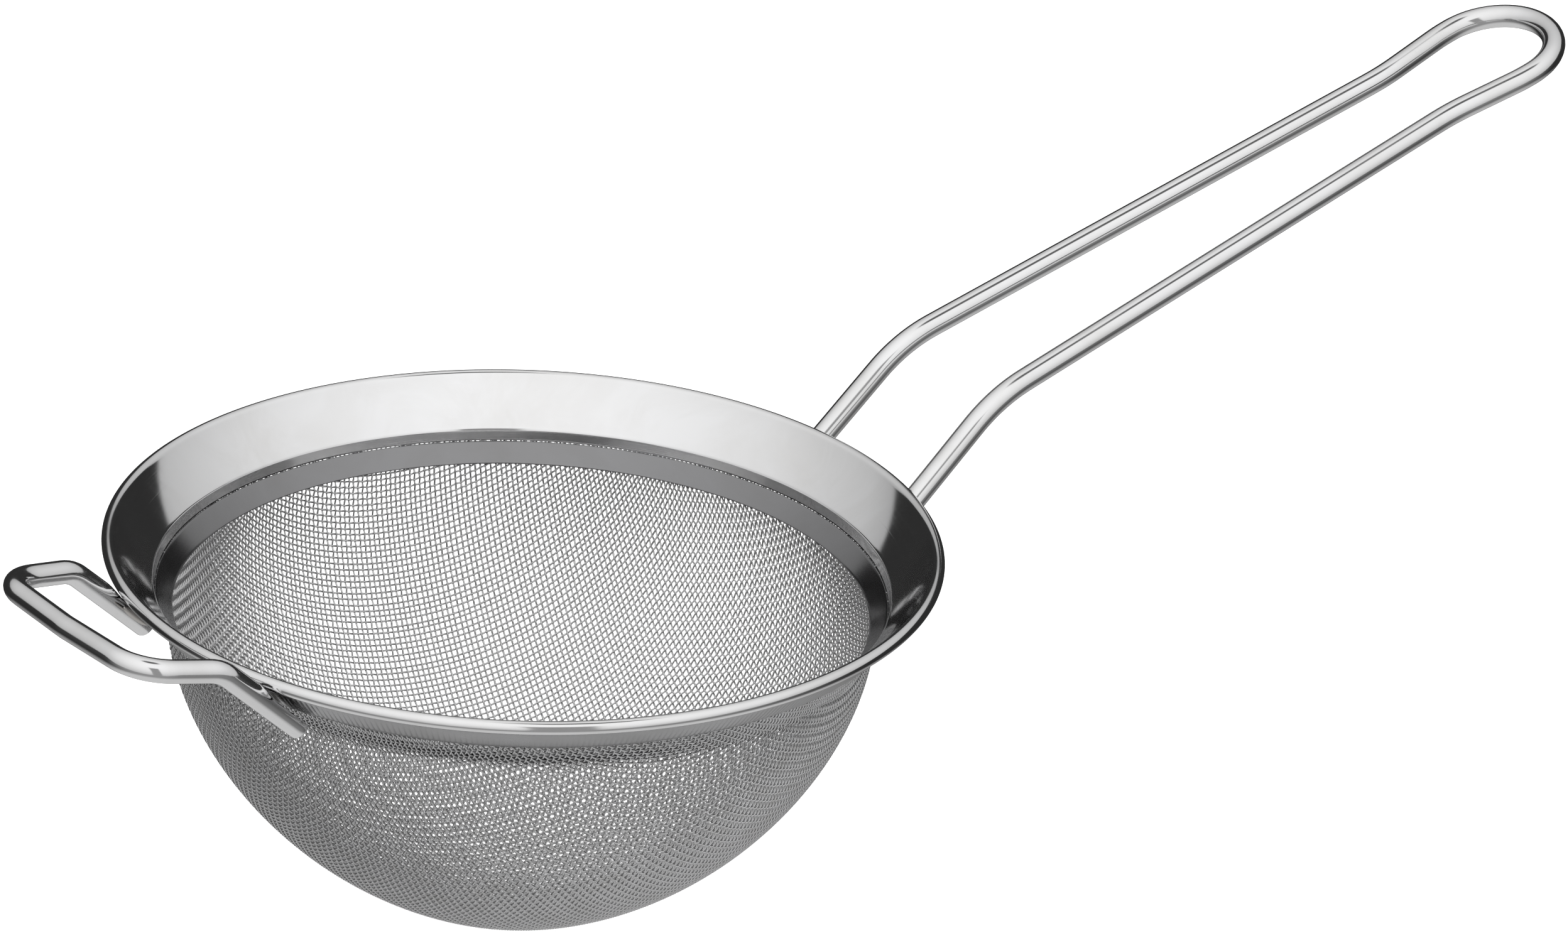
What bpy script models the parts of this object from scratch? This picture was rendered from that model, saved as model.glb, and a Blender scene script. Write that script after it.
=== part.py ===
"""Wire-handled mesh strainer, built as separate solids.

Frame: metres, +Z up, the rim level, +X towards the handle. The origin is the
centre of the small flat foot at the bottom of the mesh bowl.
"""

import math

import bmesh
import bpy
import numpy as np
from mathutils import Vector

MM = 0.001

# Driving dimensions, in millimetres. Heights are measured from the rim plane,
# which passes through the centre of the rolled bead, until RIM_HEIGHT lifts
# everything so that the foot stands at zero.
BEAD_RADIUS = 68.85          # centre circle of the rolled bead
BEAD_TUBE = 1.15             # the bead's own radius
SHEET = 0.5                  # flange sheet thickness
FLANGE_SLOPE = 47.6          # degrees, from the bead down to the lip
FLANGE_RUN = 9.85            # length of the flange, from the bead to the lip
DISH_SAG = 0.3               # how far the flange sags below a straight cone
LIP_RADIUS = 2.2             # the flange turns down over this radius
LIP_SLOPE = 78.0             # degrees, at the lip's edge
LIP_RUN = 0.5
BAND_TOP = (60.6, -8.45)     # radius and height of the inner band's two edges
BAND_BOTTOM = (58.0, -11.6)
BAND_SHEET = 0.35
SKIRT_SHEET = 0.35
SKIRT_START = 1.5            # the skirt's two edges, along the flange
SKIRT_END = 7.1
CLOTH = 0.5                  # thickness of the solid standing for the woven cloth
CLOTH_TOP = 2.4              # the cloth's edge, along the flange, under the skirt
CLOTH_TURN = 9.0             # where the cloth leaves the flange
BOWL_RADIUS = 59.05          # outer radius where the bowl begins
BOWL_SHOULDER = 12.0
BOWL_DEPTH = 65.7
BOWL_POWER = 1.76            # 2 is an ellipse, less is more pointed
FOOT_CUT = 0.45              # the foot is cut this far above the pointed bottom
FOOT_RADIUS = 5.0
CLEARANCE = 0.15             # between pieces that are pressed together

WIRE = 2.0                   # radius of the handle and rest wires
SQUASH = 0.75                # how far a wire is pressed flat where it is welded
PRESS_REACH = 4.0            # the pressing ends this far outside the bead
PRESS_EASE = 3.0             # length over which it eases in

HANDLE_ROOT_X = 63.4         # end of the legs, under the flange
HANDLE_BEND_X = 87.5
HANDLE_BEND_Z = 12.0
HANDLE_ROOT_SLOPE = 41.6     # degrees, from the rim up to the bend
HANDLE_SLOPE = 16.3          # degrees, from the bend to the tip
HANDLE_BEND_RADIUS = 28.0
HANDLE_SPREAD = 13.4         # half the spacing at the bend
ROOT_SPLAY = 0.5             # the legs stand this much wider at their roots
WAIST_SPREAD = 9.4           # half the spacing before the loop
WAIST_AT = 103.5             # distance from the bend, along the handle
LOOP_SPREAD = 11.2
TIP_AT = 131.3
LOOP_LEAD = 2.2              # straight stretch before the round end of the loop
WAIST_RADIUS = 40.0
LOOP_SHOULDER_RADIUS = 26.0

REST_TIP_X = 59.9            # end of the rest's legs, under the flange
REST_BEND_X = 75.2
REST_BEND_Z = 4.9
REST_ROOT_SLOPE = 42.2
REST_SLOPE = 10.5
REST_BAR_X = 90.0
REST_BEND_RADIUS = 7.0
REST_CORNER_RADIUS = 7.5
REST_ROOT_SPREAD = 22.6
REST_SPLAY = 0.5
REST_BAR_SPREAD = 20.2
REST_BOW = 0.8               # how far the crossbar bows outwards

WELD_LENGTH = 3.2            # half length of a weld bead
WELD_RADIUS = 0.75
WELD_AT = 4.6                # distance from the bead, along the flange
HANDLE_WELD_ACROSS = 16.95   # distance of the weld beads from the XZ plane
REST_WELD_ACROSS = 19.1

RING_STEPS = 60              # facets round the rim and the bowl
WIRE_SIDES = 12
HANDLE_ARC = 5.0             # degrees between points on the wires' bends
REST_ARC = 9.0
HANDLE_STEP = 9.0            # longest facet along a wire
REST_STEP = 6.0
SHARP_ANGLE = 40.0           # degrees, edges above this are shaded sharp

RIM_HEIGHT = BOWL_DEPTH - FOOT_CUT

POLISHED = ((0.72, 0.72, 0.73), 0.12)
SATIN = ((0.55, 0.55, 0.56), 0.34)
WOVEN = ((0.62, 0.62, 0.63), 0.30)
WELDED = ((0.50, 0.49, 0.48), 0.38)


def clear_scene():
    """Remove whatever the file starts with."""
    for item in list(bpy.data.objects):
        bpy.data.objects.remove(item, do_unlink=True)


def steel(name, finish):
    """One stainless-steel material with its own colour and roughness."""
    colour, roughness = finish
    material = bpy.data.materials.new(name)
    material.use_nodes = True
    shader = material.node_tree.nodes["Principled BSDF"]
    shader.inputs["Base Color"].default_value = (*colour, 1.0)
    shader.inputs["Metallic"].default_value = 1.0
    shader.inputs["Roughness"].default_value = roughness
    return material


def place(name, bm, finish):
    """Turn a bmesh in millimetres above the rim plane into a named object."""
    bmesh.ops.translate(bm, verts=bm.verts, vec=(0.0, 0.0, RIM_HEIGHT))
    bmesh.ops.scale(bm, verts=bm.verts, vec=(MM, MM, MM))
    bmesh.ops.recalc_face_normals(bm, faces=bm.faces)
    mesh = bpy.data.meshes.new(name)
    bm.to_mesh(mesh)
    bm.free()
    mesh.shade_smooth()
    mesh.set_sharp_from_angle(angle=math.radians(SHARP_ANGLE))
    item = bpy.data.objects.new(name, mesh)
    item.data.materials.append(steel(name, finish))
    bpy.context.scene.collection.objects.link(item)
    return item


def turned(profile):
    """A closed ring: a closed outline of (radius, height) turned round Z."""
    bm = bmesh.new()
    outline = [bm.verts.new((r, 0.0, z)) for r, z in profile]
    edges = [bm.edges.new((a, b)) for a, b in zip(outline, outline[1:] + outline[:1])]
    bmesh.ops.spin(bm, geom=outline + edges, cent=(0, 0, 0), axis=(0, 0, 1),
                   angle=math.tau, steps=RING_STEPS, use_duplicate=False)
    bmesh.ops.remove_doubles(bm, verts=bm.verts, dist=0.001)
    return bm


def offset(points, distance):
    """Points moved sideways from a line of (radius, height) points.

    Positive is to the right of the direction of travel.
    """
    points = np.array(points, float)
    along = np.gradient(points, axis=0)
    along /= np.linalg.norm(along, axis=1)[:, None]
    return points + distance * np.stack([along[:, 1], -along[:, 0]], axis=1)


def sheet(points, thickness):
    """Closed outline of a sheet of even thickness that follows a line."""
    half = thickness / 2.0
    one_side = offset(points, half).tolist()
    other_side = offset(points, -half).tolist()
    return one_side + other_side[::-1]


def flange_point(along, below=0.0):
    """A point on the flange's upper face, at a distance from the bead.

    The face touches the bead's circle, falls inwards at FLANGE_SLOPE and sags a
    little. below moves the point off the face, out of the bowl.
    """
    slope = math.radians(FLANGE_SLOPE)
    share = along / FLANGE_RUN
    drop = below + DISH_SAG * 4.0 * share * (1.0 - share) - BEAD_TUBE
    radius = BEAD_RADIUS - along * math.cos(slope) + drop * math.sin(slope)
    height = -along * math.sin(slope) - drop * math.cos(slope)
    return radius, height


def flange_face():
    """The flange's upper face, from the bead to the edge of its turned lip."""
    face = [flange_point(s) for s in np.linspace(0.0, FLANGE_RUN, 6)]
    radius, height = face[-1]
    first = math.radians(FLANGE_SLOPE)
    for turn in np.linspace(first, math.radians(LIP_SLOPE), 5)[1:]:
        face.append((radius - LIP_RADIUS * (math.sin(turn) - math.sin(first)),
                     height + LIP_RADIUS * (math.cos(turn) - math.cos(first))))
    radius, height = face[-1]
    face.append((radius - LIP_RUN * math.cos(turn), height - LIP_RUN * math.sin(turn)))
    return face


def rim_flange():
    """Dished ring with its outer edge rolled into a bead."""
    upper = flange_face()
    lower = offset(upper, -SHEET)
    meeting = math.acos((BEAD_TUBE - SHEET) / BEAD_TUBE)
    lower[0] = flange_point(BEAD_TUBE * math.sin(meeting), SHEET)
    first = math.radians(90.0 + FLANGE_SLOPE)
    sweep = np.linspace(first + meeting - math.tau, first, 13)[1:-1]
    bead = [(BEAD_RADIUS + BEAD_TUBE * math.cos(a), BEAD_TUBE * math.sin(a)) for a in sweep]
    place("rim_flange", turned(upper + lower.tolist()[::-1] + bead), POLISHED)


def inner_band():
    """Thin satin ring below the flange's lip that covers the cloth inside."""
    middle = ((BAND_TOP[0] + BAND_BOTTOM[0]) / 2.0, (BAND_TOP[1] + BAND_BOTTOM[1]) / 2.0)
    place("inner_band", turned(sheet([BAND_TOP, middle, BAND_BOTTOM], BAND_SHEET)), SATIN)


def clamp_skirt():
    """Thin ring pressed on the underside of the flange over the cloth's edge."""
    below = SHEET + CLOTH + 2.0 * CLEARANCE + SKIRT_SHEET / 2.0
    line = [flange_point(s, below) for s in np.linspace(SKIRT_START, SKIRT_END, 5)]
    place("clamp_skirt", turned(sheet(line, SKIRT_SHEET)), SATIN)


def bowl_line():
    """Middle of the cloth, from its top edge down to the foot."""
    below = SHEET + CLEARANCE + CLOTH / 2.0
    line = [flange_point(s, below) for s in np.linspace(CLOTH_TOP, CLOTH_TURN, 4)]
    drop = BOWL_DEPTH - BOWL_SHOULDER
    power = 2.0 / BOWL_POWER
    outer = BOWL_RADIUS - CLOTH / 2.0
    foot_turn = math.acos((FOOT_RADIUS / outer) ** (1.0 / power))
    for turn in np.linspace(0.0, foot_turn, 15):
        radius = outer * math.cos(turn) ** power
        height = -BOWL_SHOULDER - (drop - CLOTH / 2.0) * math.sin(turn) ** power
        line.append((radius, height))
    return line


def mesh_basket():
    """Closed bowl with a flat foot, standing for the woven cloth."""
    line = bowl_line()
    outside = offset(line, CLOTH / 2.0).tolist()
    inside = offset(line, -CLOTH / 2.0).tolist()
    if outside[5][0] < inside[5][0]:
        outside, inside = inside, outside
    outside[-1] = [FOOT_RADIUS, -RIM_HEIGHT]
    inside[-1] = [FOOT_RADIUS, -RIM_HEIGHT + CLOTH]
    bm = bmesh.new()
    outline = [bm.verts.new((r, 0.0, z)) for r, z in inside[::-1] + outside]
    edges = [bm.edges.new(pair) for pair in zip(outline, outline[1:])]
    bmesh.ops.spin(bm, geom=outline + edges, cent=(0, 0, 0), axis=(0, 0, 1),
                   angle=math.tau, steps=RING_STEPS, use_duplicate=False)
    bmesh.ops.remove_doubles(bm, verts=bm.verts, dist=0.001)
    bmesh.ops.holes_fill(bm, edges=[e for e in bm.edges if e.is_boundary], sides=0)
    bmesh.ops.triangulate(bm, faces=[f for f in bm.faces if len(f.verts) > 4])
    place("mesh_basket", bm, WOVEN)


def rounded(points, radii, step):
    """A path through corner points, each corner replaced by an arc.

    The arc at a corner touches both of its legs; step is the angle in degrees
    between points on it.
    """
    path = [Vector(points[0])]
    for before, corner, after, radius in zip(points, points[1:], points[2:], radii):
        corner = Vector(corner)
        back = (Vector(before) - corner).normalized()
        ahead = (Vector(after) - corner).normalized()
        half = back.angle(ahead) / 2.0
        centre = corner + (back + ahead).normalized() * (radius / math.sin(half))
        start = corner + back * (radius / math.tan(half)) - centre
        finish = corner + ahead * (radius / math.tan(half)) - centre
        turn = start.angle(finish)
        count = max(2, round(math.degrees(turn) / step))
        for i in range(count + 1):
            share = i / count
            a = math.sin((1.0 - share) * turn) / math.sin(turn)
            b = math.sin(share * turn) / math.sin(turn)
            path.append(centre + start * a + finish * b)
    path.append(Vector(points[-1]))
    return path


def handle_plane(distance):
    """Place on the handle's sloping centre line, from its bend."""
    slope = math.radians(HANDLE_SLOPE)
    return (HANDLE_BEND_X + distance * math.cos(slope),
            HANDLE_BEND_Z + distance * math.sin(slope))


def handle_path():
    """Centre line of the hairpin: one leg, the drop-shaped loop, the other leg."""
    root = math.radians(HANDLE_ROOT_SLOPE)
    fall = (HANDLE_BEND_X - HANDLE_ROOT_X) * math.tan(root)
    waist_x, waist_z = handle_plane(WAIST_AT)
    leg = [(HANDLE_ROOT_X, HANDLE_SPREAD + ROOT_SPLAY, HANDLE_BEND_Z - fall),
           (HANDLE_BEND_X, HANDLE_SPREAD, HANDLE_BEND_Z),
           (waist_x, WAIST_SPREAD, waist_z)]
    wide_x, wide_z = handle_plane(TIP_AT - LOOP_SPREAD)
    near_x, near_z = handle_plane(TIP_AT - LOOP_SPREAD - LOOP_LEAD)
    leg.append((near_x, LOOP_SPREAD, near_z))
    leg.append((wide_x, LOOP_SPREAD, wide_z))
    half = rounded(leg, [HANDLE_BEND_RADIUS, WAIST_RADIUS, LOOP_SHOULDER_RADIUS], HANDLE_ARC)
    tip = []
    for turn in np.linspace(0.0, math.pi / 2.0, 9)[1:]:
        x, z = handle_plane(TIP_AT - LOOP_SPREAD + LOOP_SPREAD * math.sin(turn))
        tip.append(Vector((x, LOOP_SPREAD * math.cos(turn), z)))
    half += tip
    other = [Vector((p.x, -p.y, p.z)) for p in half[-2::-1]]
    return half + other


def rest_path():
    """Centre line of the front rest: a leg, the crossbar, the other leg."""
    root = math.radians(REST_ROOT_SLOPE)
    fall = (REST_BEND_X - REST_TIP_X) * math.tan(root)
    rise = (REST_BAR_X - REST_BEND_X) * math.tan(math.radians(REST_SLOPE))
    leg = [(-REST_TIP_X, REST_ROOT_SPREAD, REST_BEND_Z - fall),
           (-REST_BEND_X, REST_ROOT_SPREAD - REST_SPLAY, REST_BEND_Z),
           (-REST_BAR_X, REST_BAR_SPREAD, REST_BEND_Z + rise),
           (-REST_BAR_X - REST_BOW, 0.0, REST_BEND_Z + rise)]
    half = rounded(leg, [REST_BEND_RADIUS, REST_CORNER_RADIUS], REST_ARC)
    other = [Vector((p.x, -p.y, p.z)) for p in half[-2::-1]]
    return half + other


def dense(path, longest):
    """The path with its long straight stretches divided."""
    points = [path[0]]
    for a, b in zip(path, path[1:]):
        parts = max(1, math.ceil((b - a).length / longest))
        points += [a.lerp(b, (i + 1) / parts) for i in range(parts)]
    return points


def bent_wire(name, path):
    """A round wire along a path, pressed flat on top where it is welded.

    Inside PRESS_REACH outside the bead, the wire's upper side is flattened by
    SQUASH, easing in over PRESS_EASE.
    """
    pressed_from = BEAD_RADIUS + PRESS_REACH
    bm = bmesh.new()
    count = len(path)
    rings = []
    side_before = None
    for i, centre in enumerate(path):
        along = (path[min(i + 1, count - 1)] - path[max(i - 1, 0)]).normalized()
        flat = Vector((0.0, 0.0, 1.0)) if side_before is None else side_before
        upper = (flat - along * flat.dot(along)).normalized()
        side_before = upper
        side = along.cross(upper)
        inward = pressed_from - math.hypot(centre.x, centre.y)
        press = SQUASH * min(1.0, max(0.0, inward / PRESS_EASE))
        ring = []
        for k in range(WIRE_SIDES):
            angle = math.tau * k / WIRE_SIDES
            lift = min(WIRE * math.cos(angle), WIRE - press)
            ring.append(bm.verts.new(centre + upper * lift + side * (WIRE * math.sin(angle))))
        rings.append(ring)
    for ring, following in zip(rings, rings[1:]):
        for k in range(WIRE_SIDES):
            after = (k + 1) % WIRE_SIDES
            bm.faces.new((ring[k], ring[after], following[after], following[k]))
    bm.faces.new(rings[0][::-1])
    bm.faces.new(rings[-1])
    bmesh.ops.triangulate(bm, faces=[f for f in bm.faces if len(f.verts) > 4])
    place(name, bm, POLISHED)


def weld_bead(name, centre, along):
    """A small drop of weld metal beside a wire, under the flange."""
    bm = bmesh.new()
    bmesh.ops.create_uvsphere(bm, u_segments=10, v_segments=8, radius=WELD_RADIUS)
    bmesh.ops.scale(bm, verts=bm.verts, vec=(WELD_LENGTH / WELD_RADIUS, 1.0, 1.0))
    turn = Vector((1.0, 0.0, 0.0)).rotation_difference(along).to_matrix()
    bmesh.ops.rotate(bm, verts=bm.verts, cent=(0, 0, 0), matrix=turn)
    bmesh.ops.translate(bm, verts=bm.verts, vec=centre)
    place(name, bm, WELDED)


def welds():
    """Weld beads beside the legs of the handle and of the rest."""
    handle_slope = math.radians(HANDLE_ROOT_SLOPE)
    rest_slope = math.radians(REST_ROOT_SLOPE)
    handle_along = Vector((math.cos(handle_slope), 0.0, math.sin(handle_slope)))
    rest_along = Vector((-math.cos(rest_slope), 0.0, math.sin(rest_slope)))
    for side, hand in ((1.0, "left"), (-1.0, "right")):
        weld_bead(f"handle_weld_{hand}", weld_place(1.0, side * HANDLE_WELD_ACROSS), handle_along)
        weld_bead(f"rest_weld_{hand}", weld_place(-1.0, side * REST_WELD_ACROSS), rest_along)


def weld_place(front, across):
    """Centre of a weld bead under the flange, clear of the skirt and the wire."""
    below = SHEET + CLOTH + SKIRT_SHEET + 4.0 * CLEARANCE + WELD_RADIUS
    radius, height = flange_point(WELD_AT, below)
    return Vector((front * math.sqrt(radius ** 2 - across ** 2), across, height))


def main():
    clear_scene()
    rim_flange()
    inner_band()
    clamp_skirt()
    mesh_basket()
    bent_wire("handle_wire", dense(handle_path(), HANDLE_STEP))
    bent_wire("front_rest_wire", dense(rest_path(), REST_STEP))
    welds()


main()
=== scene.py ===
"""Fine surfaces, finishes and studio of a wire-handled mesh strainer.

Laid out as a Blender add-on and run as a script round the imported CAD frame.
Everything is in metres, +Z up, with the rim level and +X towards the handle.
Each finished piece sits at the origin with its place in its mesh.
"""

import math

import bpy
import numpy as np
from mathutils import Matrix, Vector


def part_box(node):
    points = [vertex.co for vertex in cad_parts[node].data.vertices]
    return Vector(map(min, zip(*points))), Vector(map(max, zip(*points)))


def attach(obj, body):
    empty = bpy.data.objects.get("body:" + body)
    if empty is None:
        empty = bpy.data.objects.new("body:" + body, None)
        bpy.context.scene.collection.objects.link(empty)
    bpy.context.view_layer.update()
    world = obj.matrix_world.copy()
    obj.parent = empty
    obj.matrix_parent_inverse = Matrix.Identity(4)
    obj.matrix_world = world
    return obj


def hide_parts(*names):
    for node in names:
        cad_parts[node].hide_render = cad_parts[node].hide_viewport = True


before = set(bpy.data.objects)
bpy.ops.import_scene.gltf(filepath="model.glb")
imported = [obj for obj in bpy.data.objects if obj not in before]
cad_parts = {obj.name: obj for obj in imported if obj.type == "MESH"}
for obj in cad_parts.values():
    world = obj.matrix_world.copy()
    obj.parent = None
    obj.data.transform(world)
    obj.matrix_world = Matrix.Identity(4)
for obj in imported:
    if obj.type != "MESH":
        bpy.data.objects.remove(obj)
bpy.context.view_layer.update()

bl_info = {
    "name": "Hand strainer",
    "version": (1, 0, 0),
    "blender": (4, 5, 0),
    "location": "3D View > Sidebar > Strainer",
    "description": "Makes the surfaces, finishes and studio of a wire-handled mesh strainer",
    "category": "Add Mesh",
}

MM = 0.001
RIM_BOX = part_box("rim_flange")
BODY = "root"
BAND_LOW_RADIUS = 58.0 * MM              # middle of the inner band at its lower edge
BAND_GAP = 0.05 * MM                     # between the lip's edge and the band
SKIRT_GAP = 0.3 * MM                     # between the cloth's edge and the skirt
HANDLE_ROOT = math.radians(41.6)         # slope of the handle's legs under the flange
REST_ROOT = math.radians(42.2)           # slope of the rest's legs under the flange

# The light tent's directions, as azimuth and elevation in degrees.
VIEW_AZIMUTH = -127.0                    # towards the camera
TENT_PEAK = (-120.0, 60.0)               # its brightest part
HORIZON_POLE = (VIEW_AZIMUTH, 66.0)      # square to the tilted horizon
OVERHEAD_GAP = (-20.0, 82.0)
CAMERA_GAP = -114.0                      # azimuth of the upright gap
FLAG = (VIEW_AZIMUTH + 180.0, 10.0)
# Tones of the tent against nearness to its peak, 0 being the opposite direction.
TENT_TONES = ((0.40, 0.36), (0.53, 0.60), (0.65, 0.72), (0.75, 0.86), (0.85, 0.97), (1.0, 1.12))

RING_STEPS = 384                         # columns round the rim and the inner band
RIB_STEPS = 6                            # columns to each rib of the skirt
WIRE_SIDES = 28                          # columns round the handle and rest wires
CLOTH_SIDES = 6                          # columns round each wire of the cloth, an even number
BUNDLES = 4                              # pieces that each set of the cloth's wires is made in


# ---------------------------------------------------------------- settings

def length(name, description, millimetres, **more):
    """A length property, with its default given in millimetres."""
    return bpy.props.FloatProperty(name=name, description=description, default=millimetres * MM,
                                   unit="LENGTH", precision=5, **more)


def angle(name, description, degrees):
    """An angle property, with its default given in degrees."""
    return bpy.props.FloatProperty(name=name, description=description,
                                   default=math.radians(degrees), subtype="ANGLE")


def colour(name, description, value):
    """A colour property."""
    return bpy.props.FloatVectorProperty(name=name, description=description, default=value,
                                         size=3, min=0.0, max=1.0, subtype="COLOR")


def share(name, description, value, high=1.0):
    """A plain number between 0 and high."""
    return bpy.props.FloatProperty(name=name, description=description, default=value,
                                   min=0.0, max=high)


class StrainerRim(bpy.types.PropertyGroup):
    """Sizes of the rolled rim and the two bands."""
    bead: length("Bead", "Radius of the rolled bead itself", 1.15)
    sheet: length("Sheet", "Thickness of the flange sheet", 0.5)
    slope: angle("Flange slope", "Fall of the flange from the bead to the lip", 47.6)
    run: length("Flange run", "Length of the flange from the bead to the lip", 9.6)
    sag: length("Sag", "How far the flange sags below a straight cone", 0.3)
    lip_radius: length("Lip radius", "The flange turns down over this radius", 1.0)
    lip_slope: angle("Lip slope", "Slope at the lip's edge", 78.0)
    lip_run: length("Lip run", "Straight edge of the lip", 1.7)
    band: length("Band sheet", "Thickness of the inner band and the skirt", 0.35)
    skirt_start: length("Skirt top", "Distance from the bead to the skirt's upper edge", 1.5)
    skirt_end: length("Skirt bottom", "Distance from the bead to the skirt's lower edge", 7.1)
    rib_height: length("Rib height", "Height of the ribs pressed into the skirt", 0.09)
    ribs: bpy.props.IntProperty(name="Ribs", description="Ribs round the skirt",
                                default=452, min=60)


class StrainerCloth(bpy.types.PropertyGroup):
    """Sizes of the woven wire cloth and of the bowl it is drawn into."""
    pitch: length("Pitch", "Spacing of the cloth's wires before it is drawn", 1.02)
    wire: length("Wire", "Diameter of the cloth's wires", 0.33)
    weave: angle("Weave angle", "Azimuth of the warp at the bottom of the bowl", 78.0)
    shear: share("Shear", "How far the weave gives by shearing and not by closing up", 0.55)
    draw: share("Draw", "How far the weave lengthens on its diagonals", 0.13)
    neck: length("Neck", "Radius of the cloth's middle where the bowl begins", 58.8)
    shoulder: length("Shoulder", "Depth below the rim where the bowl begins", 12.0)
    drop: length("Drop", "Depth of the bowl below its shoulder", 53.45)
    power: share("Roundness", "2 is an ellipse, less is more pointed", 1.76, high=4.0)
    top: length("Edge", "The cloth's edge, along the flange from the bead", 2.4)
    turn: length("Turn", "Where the cloth leaves the flange", 9.0)
    below: length("Below", "Depth of the cloth's middle under the flange's face", 0.9)
    seed: bpy.props.IntProperty(name="Seed", description="Start of the wires' random slips", default=12)


class StrainerWires(bpy.types.PropertyGroup):
    """Sizes of the handle and rest wires."""
    wire: length("Wire", "Radius of the wires", 2.0)
    squash: length("Squash", "How far a wire is pressed flat where it is welded", 0.75)
    chamfer: length("End rounding", "Rounding of the cut ends", 0.4)
    weld_length: length("Weld length", "Half length of a weld bead", 3.2)
    weld_radius: length("Weld radius", "Radius of a weld bead", 0.75)


class StrainerFinish(bpy.types.PropertyGroup):
    """Colours and polish of the steel, the inner band's colour darkened by painted shade."""
    polished: colour("Polished steel", "Colour of the polished rim and wires", (0.80, 0.80, 0.805))
    satin: colour("Satin steel", "Colour of the skirt", (0.38, 0.38, 0.385))
    # The band's colour is the skirt's satin steel made darker: painted shade for the dark inside of the
    # bowl that the band mirrors.
    band: colour("Band steel", "Colour of the inner band", (0.26, 0.26, 0.265))
    woven: colour("Cloth wire", "Colour of the cloth's wires", (0.61, 0.61, 0.615))
    weld: colour("Weld metal", "Colour of the weld beads", (0.52, 0.50, 0.48))
    polish: share("Polish", "Roughness of the polished steel", 0.07)
    grain: share("Satin", "Roughness of the satin skirt", 0.26)
    sheen: share("Band satin", "Roughness of the satin band", 0.13)


class StrainerStage(bpy.types.PropertyGroup):
    """Camera, floor and lights."""
    azimuth: angle("Azimuth", "Direction from the object to the camera, from +X", -127.214)
    elevation: angle("Elevation", "Height of the camera above the horizon", 24.604)
    roll: angle("Roll", "Turn of the camera about its own axis", -2.609)
    distance: length("Distance", "Distance from the aim point to the camera", 2084.15)
    lens: bpy.props.FloatProperty(name="Lens", description="Focal length in millimetres",
                                  default=288.46, min=1.0)
    aim: bpy.props.FloatVectorProperty(name="Aim", description="Point that the camera looks at",
                                       default=(0.03774, -0.02064, 0.07921), size=3,
                                       subtype="TRANSLATION")
    floor: colour("Floor", "Colour of the floor", (0.90, 0.90, 0.90))
    glow: share("Floor glow", "Light that the floor gives off itself, to soften the shadows",
                0.6, high=5.0)
    daylight: share("Tent", "Strength of the light tent", 1.0, high=10.0)
    watts: share("Overhead", "Power in watts of the overhead light on the floor", 30.0, high=500.0)


# ---------------------------------------------------------------- meshes

def capped_faces(rows, columns):
    """Quads of a tube of rings, and the triangles that close its two ends.

    The ring points are numbered row by row; the two end points follow them.
    """
    grid = np.arange(rows * columns).reshape(rows, columns)
    ahead = np.roll(grid, -1, axis=1)
    quads = np.stack([grid[:-1], ahead[:-1], ahead[1:], grid[1:]], axis=-1).reshape(-1, 4)
    first = np.full(columns, rows * columns)
    start = np.stack([first, ahead[0], grid[0]], axis=-1)
    finish = np.stack([first + 1, grid[-1], ahead[-1]], axis=-1)
    return [quads, start, finish]


def ring_faces(rows, columns):
    """Quads of a grid that closes on itself both ways."""
    grid = np.arange(rows * columns).reshape(rows, columns)
    ahead = np.roll(grid, -1, axis=1)
    quads = [grid, ahead, np.roll(ahead, -1, axis=0), np.roll(grid, -1, axis=0)]
    return [np.stack(quads, axis=-1).reshape(-1, 4)]


def ring_map(along, around):
    """Corner coordinates for ring_faces, in metres, so a pattern doesn't tear at the seams."""
    rows = np.stack([along[:-1], along[:-1], along[1:], along[1:]], axis=-1)[:, None, :]
    columns = np.stack([around[:-1], around[1:], around[1:], around[:-1]], axis=-1)[None]
    rows, columns = np.broadcast_arrays(rows, columns)
    return np.stack([columns, rows], axis=-1).reshape(-1, 2)


def capped_map(along, around):
    """Corner coordinates for capped_faces, in metres."""
    sides = ring_map(along, around)
    middle = (around[:-1] + around[1:]) / 2.0
    caps = []
    for row, (left, right) in ((along[0], (around[1:], around[:-1])),
                               (along[-1], (around[:-1], around[1:]))):
        level = np.full(len(middle), row)
        corners = [np.stack([x, level], axis=-1) for x in (middle, left, right)]
        caps.append(np.stack(corners, axis=1).reshape(-1, 2))
    return np.concatenate([sides, *caps])


def enclosed_volume(points, faces):
    """Signed volume inside closed faces: the sum of the tetrahedra to the origin."""
    total = 0.0
    for block in faces:
        corners = points[block]
        for k in range(1, block.shape[1] - 1):
            cross = np.cross(corners[:, k], corners[:, k + 1])
            total += np.einsum("ij,ij->", corners[:, 0], cross) / 6.0
    return total


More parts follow.
